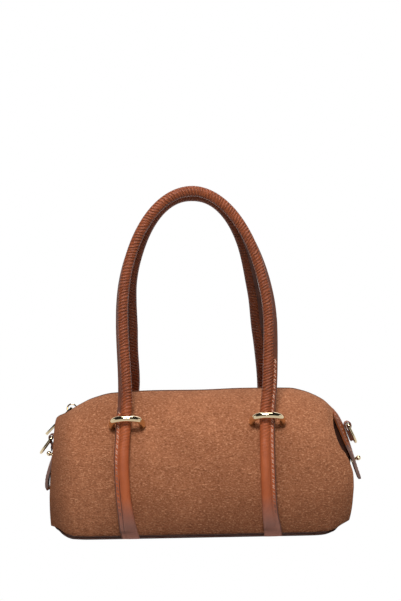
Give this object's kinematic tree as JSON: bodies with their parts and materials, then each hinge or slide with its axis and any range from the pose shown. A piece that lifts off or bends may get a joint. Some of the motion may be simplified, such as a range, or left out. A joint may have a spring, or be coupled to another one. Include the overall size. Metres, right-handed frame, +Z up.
{
  "type": "shoulder bag",
  "caption": "Suede barrel shoulder bag with rolled leather handles held by gold loops, a top zip, folded ends with buttoned tabs and strap rings, on a dark leather base.",
  "frame": {"origin": "centre of the base's underside, on the surface that the bag stands on", "axes": "+Z up, +X along the bag to the right seen from the front, the front at -Y"},
  "size_m": [0.3337, 0.1486, 0.3557],
  "materials": {
    "suede": "napped tan suede",
    "handle_leather": "grained red-tan leather, half gloss",
    "dark_leather": "smooth dark brown leather",
    "zip_tape": "woven tape",
    "gold": "polished pale gold plating"
  },
  "bodies": {
    "bag": {"front_panel": "suede", "back_panel": "suede", "left_gusset": "dark_leather", "right_gusset": "dark_leather", "base_panel": "dark_leather", "front_welt": "dark_leather", "back_welt": "dark_leather", "zip_tape_front": "zip_tape", "zip_tape_back": "zip_tape", "zip_chain": "gold", "zip_slider": "gold", "left_end_tab": "handle_leather", "right_end_tab": "handle_leather", "left_ring_loop": "handle_leather", "right_ring_loop": "handle_leather", "left_stud": "gold", "right_stud": "gold", "front_handle": "handle_leather", "back_handle": "handle_leather", "front_left_keeper": "gold", "front_right_keeper": "gold", "back_left_keeper": "gold", "back_right_keeper": "gold"},
    "puller": {"zip_puller": "gold"},
    "left_strap_ring": {"left_d_ring": "gold"},
    "right_strap_ring": {"right_d_ring": "gold"}
  },
  "joints": [
    {"name": "puller_swing", "type": "hinge", "parent": "bag", "child": "puller", "pos_m": [-0.13322, 0, 0.12933], "axis": [0, 1, 0], "range_deg": [0, 170]},
    {"name": "left_ring_swing", "type": "hinge", "parent": "bag", "child": "left_strap_ring", "pos_m": [-0.15367, 0, 0.09971], "axis": [0, 1, 0], "range_deg": [-10, 150]},
    {"name": "right_ring_swing", "type": "hinge", "parent": "bag", "child": "right_strap_ring", "pos_m": [0.15325, 0, 0.10694], "axis": [0, -1, 0], "range_deg": [0, 150]}
  ]
}
